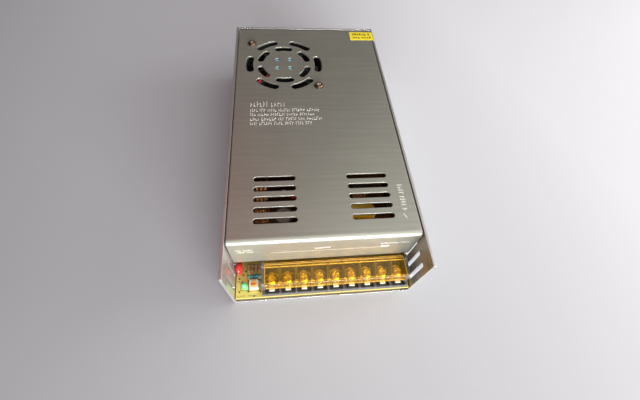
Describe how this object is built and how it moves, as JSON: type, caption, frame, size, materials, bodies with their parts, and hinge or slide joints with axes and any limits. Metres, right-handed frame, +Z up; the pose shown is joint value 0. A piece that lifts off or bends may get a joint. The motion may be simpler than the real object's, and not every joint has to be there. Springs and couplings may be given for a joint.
{
  "type": "switching power supply",
  "caption": "Enclosed switching power supply: slotted aluminium casing and cover with a fan grill, a fan under it, and screw terminals under a hinged clear lid at the front.",
  "frame": {"origin": "on the floor, under the middle of the casing", "axes": "+X to the right seen from the terminals, +Y from the terminals at the front to the back, +Z up through the cover"},
  "size_m": [0.115, 0.215, 0.0514],
  "materials": {
    "sheet": "satin",
    "steel": "plated",
    "copper_screw": "plated",
    "contact": "nickel plated",
    "fan_plastic": "matt",
    "block_plastic": "matt",
    "lid_plastic": "clear amber",
    "board": "satin",
    "white_plastic": "matt",
    "orange_plastic": "satin",
    "lamp": "clear",
    "resistor_blue": "gloss",
    "resistor_beige": "gloss",
    "red_coating": "gloss",
    "dark_coating": "matt",
    "selector_plastic": "matt",
    "slider_plastic": "gloss",
    "red_wire": "gloss",
    "black_wire": "gloss",
    "powder_core": "satin",
    "ferrite": "matt",
    "winding_wire": "enamelled",
    "winding_tape": "satin",
    "bobbin_plastic": "matt",
    "can_sleeve": "gloss",
    "filter_box": "satin",
    "fuse_glass": "clear",
    "clip_metal": "plated",
    "device_plastic": "matt",
    "seal_paper": "paper"
  },
  "bodies": {
    "casing": {"chassis": "sheet", "top_cover": "sheet", "wall_screws": "steel", "board_screws": "steel", "board_standoffs": "steel", "clamp_bars": "steel", "fan_screws": "copper_screw", "terminal_plates": "contact", "fan_frame": "fan_plastic", "terminal_housing": "block_plastic", "circuit_board": "board", "trimmer_body": "white_plastic", "fan_plug": "white_plastic", "status_led": "lamp", "adjust_resistor": "resistor_blue", "small_resistors": "resistor_beige", "disc_capacitor": "red_coating", "thermistor": "dark_coating", "selector_body": "selector_plastic", "fan_lead_red": "red_wire", "fan_lead_black": "black_wire", "output_choke_core": "powder_core", "line_choke_core": "ferrite", "transformer_core": "ferrite", "output_choke_winding": "winding_wire", "line_choke_windings": "winding_wire", "transformer_winding": "winding_tape", "transformer_bobbin": "bobbin_plastic", "output_capacitors": "can_sleeve", "bulk_capacitors": "can_sleeve", "x_capacitor": "filter_box", "fuse": "fuse_glass", "fuse_clips": "clip_metal", "bridge_rectifier": "device_plastic", "output_rectifiers": "device_plastic", "switching_transistors": "device_plastic", "control_ic": "device_plastic", "seal_label": "seal_paper"},
    "fan_rotor": {"fan_rotor": "fan_plastic"},
    "terminal_lid": {"terminal_lid": "lid_plastic"},
    "trimmer_rotor": {"trimmer_rotor": "orange_plastic"},
    "selector_slider": {"selector_slider": "slider_plastic"},
    "clamp_1": {"clamp_washer_1": "contact"},
    "screw_1": {"terminal_screw_1": "contact"},
    "clamp_2": {"clamp_washer_2": "contact"},
    "screw_2": {"terminal_screw_2": "contact"},
    "clamp_3": {"clamp_washer_3": "contact"},
    "screw_3": {"terminal_screw_3": "contact"},
    "clamp_4": {"clamp_washer_4": "contact"},
    "screw_4": {"terminal_screw_4": "contact"},
    "clamp_5": {"clamp_washer_5": "contact"},
    "screw_5": {"terminal_screw_5": "contact"},
    "clamp_6": {"clamp_washer_6": "contact"},
    "screw_6": {"terminal_screw_6": "contact"},
    "clamp_7": {"clamp_washer_7": "contact"},
    "screw_7": {"terminal_screw_7": "contact"},
    "clamp_8": {"clamp_washer_8": "contact"},
    "screw_8": {"terminal_screw_8": "contact"},
    "clamp_9": {"clamp_washer_9": "contact"},
    "screw_9": {"terminal_screw_9": "contact"}
  },
  "joints": [
    {"name": "fan_spin", "type": "hinge", "parent": "casing", "child": "fan_rotor", "pos_m": [-0.0195, 0.0604, 0.0398], "axis": [0, 0, 1], "continuous": true},
    {"name": "lid_hinge", "type": "hinge", "parent": "casing", "child": "terminal_lid", "pos_m": [0.0072, -0.0915, 0.021], "axis": [-1, 0, 0], "range_deg": [0, 95]},
    {"name": "trimmer_turn", "type": "hinge", "parent": "casing", "child": "trimmer_rotor", "pos_m": [-0.0442, -0.0994, 0.012], "axis": [0, 0, 1], "range_deg": [-135, 135]},
    {"name": "selector_slide", "type": "slide", "parent": "casing", "child": "selector_slider", "axis": [0, 1, 0], "range_m": [0, 0.0044]},
    {"name": "clamp_1_lift", "type": "slide", "parent": "casing", "child": "clamp_1", "axis": [0, 0, 1], "range_m": [0, 0.0024]},
    {"name": "screw_1_turn", "type": "hinge", "parent": "clamp_1", "child": "screw_1", "pos_m": [-0.0328, -0.0985, 0.015], "axis": [0, 0, 1], "range_deg": [0, 1440]},
    {"name": "clamp_2_lift", "type": "slide", "parent": "casing", "child": "clamp_2", "axis": [0, 0, 1], "range_m": [0, 0.0024]},
    {"name": "screw_2_turn", "type": "hinge", "parent": "clamp_2", "child": "screw_2", "pos_m": [-0.0228, -0.0985, 0.015], "axis": [0, 0, 1], "range_deg": [0, 1440]},
    {"name": "clamp_3_lift", "type": "slide", "parent": "casing", "child": "clamp_3", "axis": [0, 0, 1], "range_m": [0, 0.0024]},
    {"name": "screw_3_turn", "type": "hinge", "parent": "clamp_3", "child": "screw_3", "pos_m": [-0.0128, -0.0985, 0.015], "axis": [0, 0, 1], "range_deg": [0, 1440]},
    {"name": "clamp_4_lift", "type": "slide", "parent": "casing", "child": "clamp_4", "axis": [0, 0, 1], "range_m": [0, 0.0024]},
    {"name": "screw_4_turn", "type": "hinge", "parent": "clamp_4", "child": "screw_4", "pos_m": [-0.0028, -0.0985, 0.015], "axis": [0, 0, 1], "range_deg": [0, 1440]},
    {"name": "clamp_5_lift", "type": "slide", "parent": "casing", "child": "clamp_5", "axis": [0, 0, 1], "range_m": [0, 0.0024]},
    {"name": "screw_5_turn", "type": "hinge", "parent": "clamp_5", "child": "screw_5", "pos_m": [0.0072, -0.0985, 0.015], "axis": [0, 0, 1], "range_deg": [0, 1440]},
    {"name": "clamp_6_lift", "type": "slide", "parent": "casing", "child": "clamp_6", "axis": [0, 0, 1], "range_m": [0, 0.0024]},
    {"name": "screw_6_turn", "type": "hinge", "parent": "clamp_6", "child": "screw_6", "pos_m": [0.0172, -0.0985, 0.015], "axis": [0, 0, 1], "range_deg": [0, 1440]},
    {"name": "clamp_7_lift", "type": "slide", "parent": "casing", "child": "clamp_7", "axis": [0, 0, 1], "range_m": [0, 0.0024]},
    {"name": "screw_7_turn", "type": "hinge", "parent": "clamp_7", "child": "screw_7", "pos_m": [0.0272, -0.0985, 0.015], "axis": [0, 0, 1], "range_deg": [0, 1440]},
    {"name": "clamp_8_lift", "type": "slide", "parent": "casing", "child": "clamp_8", "axis": [0, 0, 1], "range_m": [0, 0.0024]},
    {"name": "screw_8_turn", "type": "hinge", "parent": "clamp_8", "child": "screw_8", "pos_m": [0.0372, -0.0985, 0.015], "axis": [0, 0, 1], "range_deg": [0, 1440]},
    {"name": "clamp_9_lift", "type": "slide", "parent": "casing", "child": "clamp_9", "axis": [0, 0, 1], "range_m": [0, 0.0024]},
    {"name": "screw_9_turn", "type": "hinge", "parent": "clamp_9", "child": "screw_9", "pos_m": [0.0472, -0.0985, 0.015], "axis": [0, 0, 1], "range_deg": [0, 1440]}
  ],
  "couplings": [
    {"joint": "screw_1_turn", "follows": "clamp_1_lift", "rad_per_m": 10472},
    {"joint": "screw_2_turn", "follows": "clamp_2_lift", "rad_per_m": 10472},
    {"joint": "screw_3_turn", "follows": "clamp_3_lift", "rad_per_m": 10472},
    {"joint": "screw_4_turn", "follows": "clamp_4_lift", "rad_per_m": 10472},
    {"joint": "screw_5_turn", "follows": "clamp_5_lift", "rad_per_m": 10472},
    {"joint": "screw_6_turn", "follows": "clamp_6_lift", "rad_per_m": 10472},
    {"joint": "screw_7_turn", "follows": "clamp_7_lift", "rad_per_m": 10472},
    {"joint": "screw_8_turn", "follows": "clamp_8_lift", "rad_per_m": 10472},
    {"joint": "screw_9_turn", "follows": "clamp_9_lift", "rad_per_m": 10472}
  ]
}
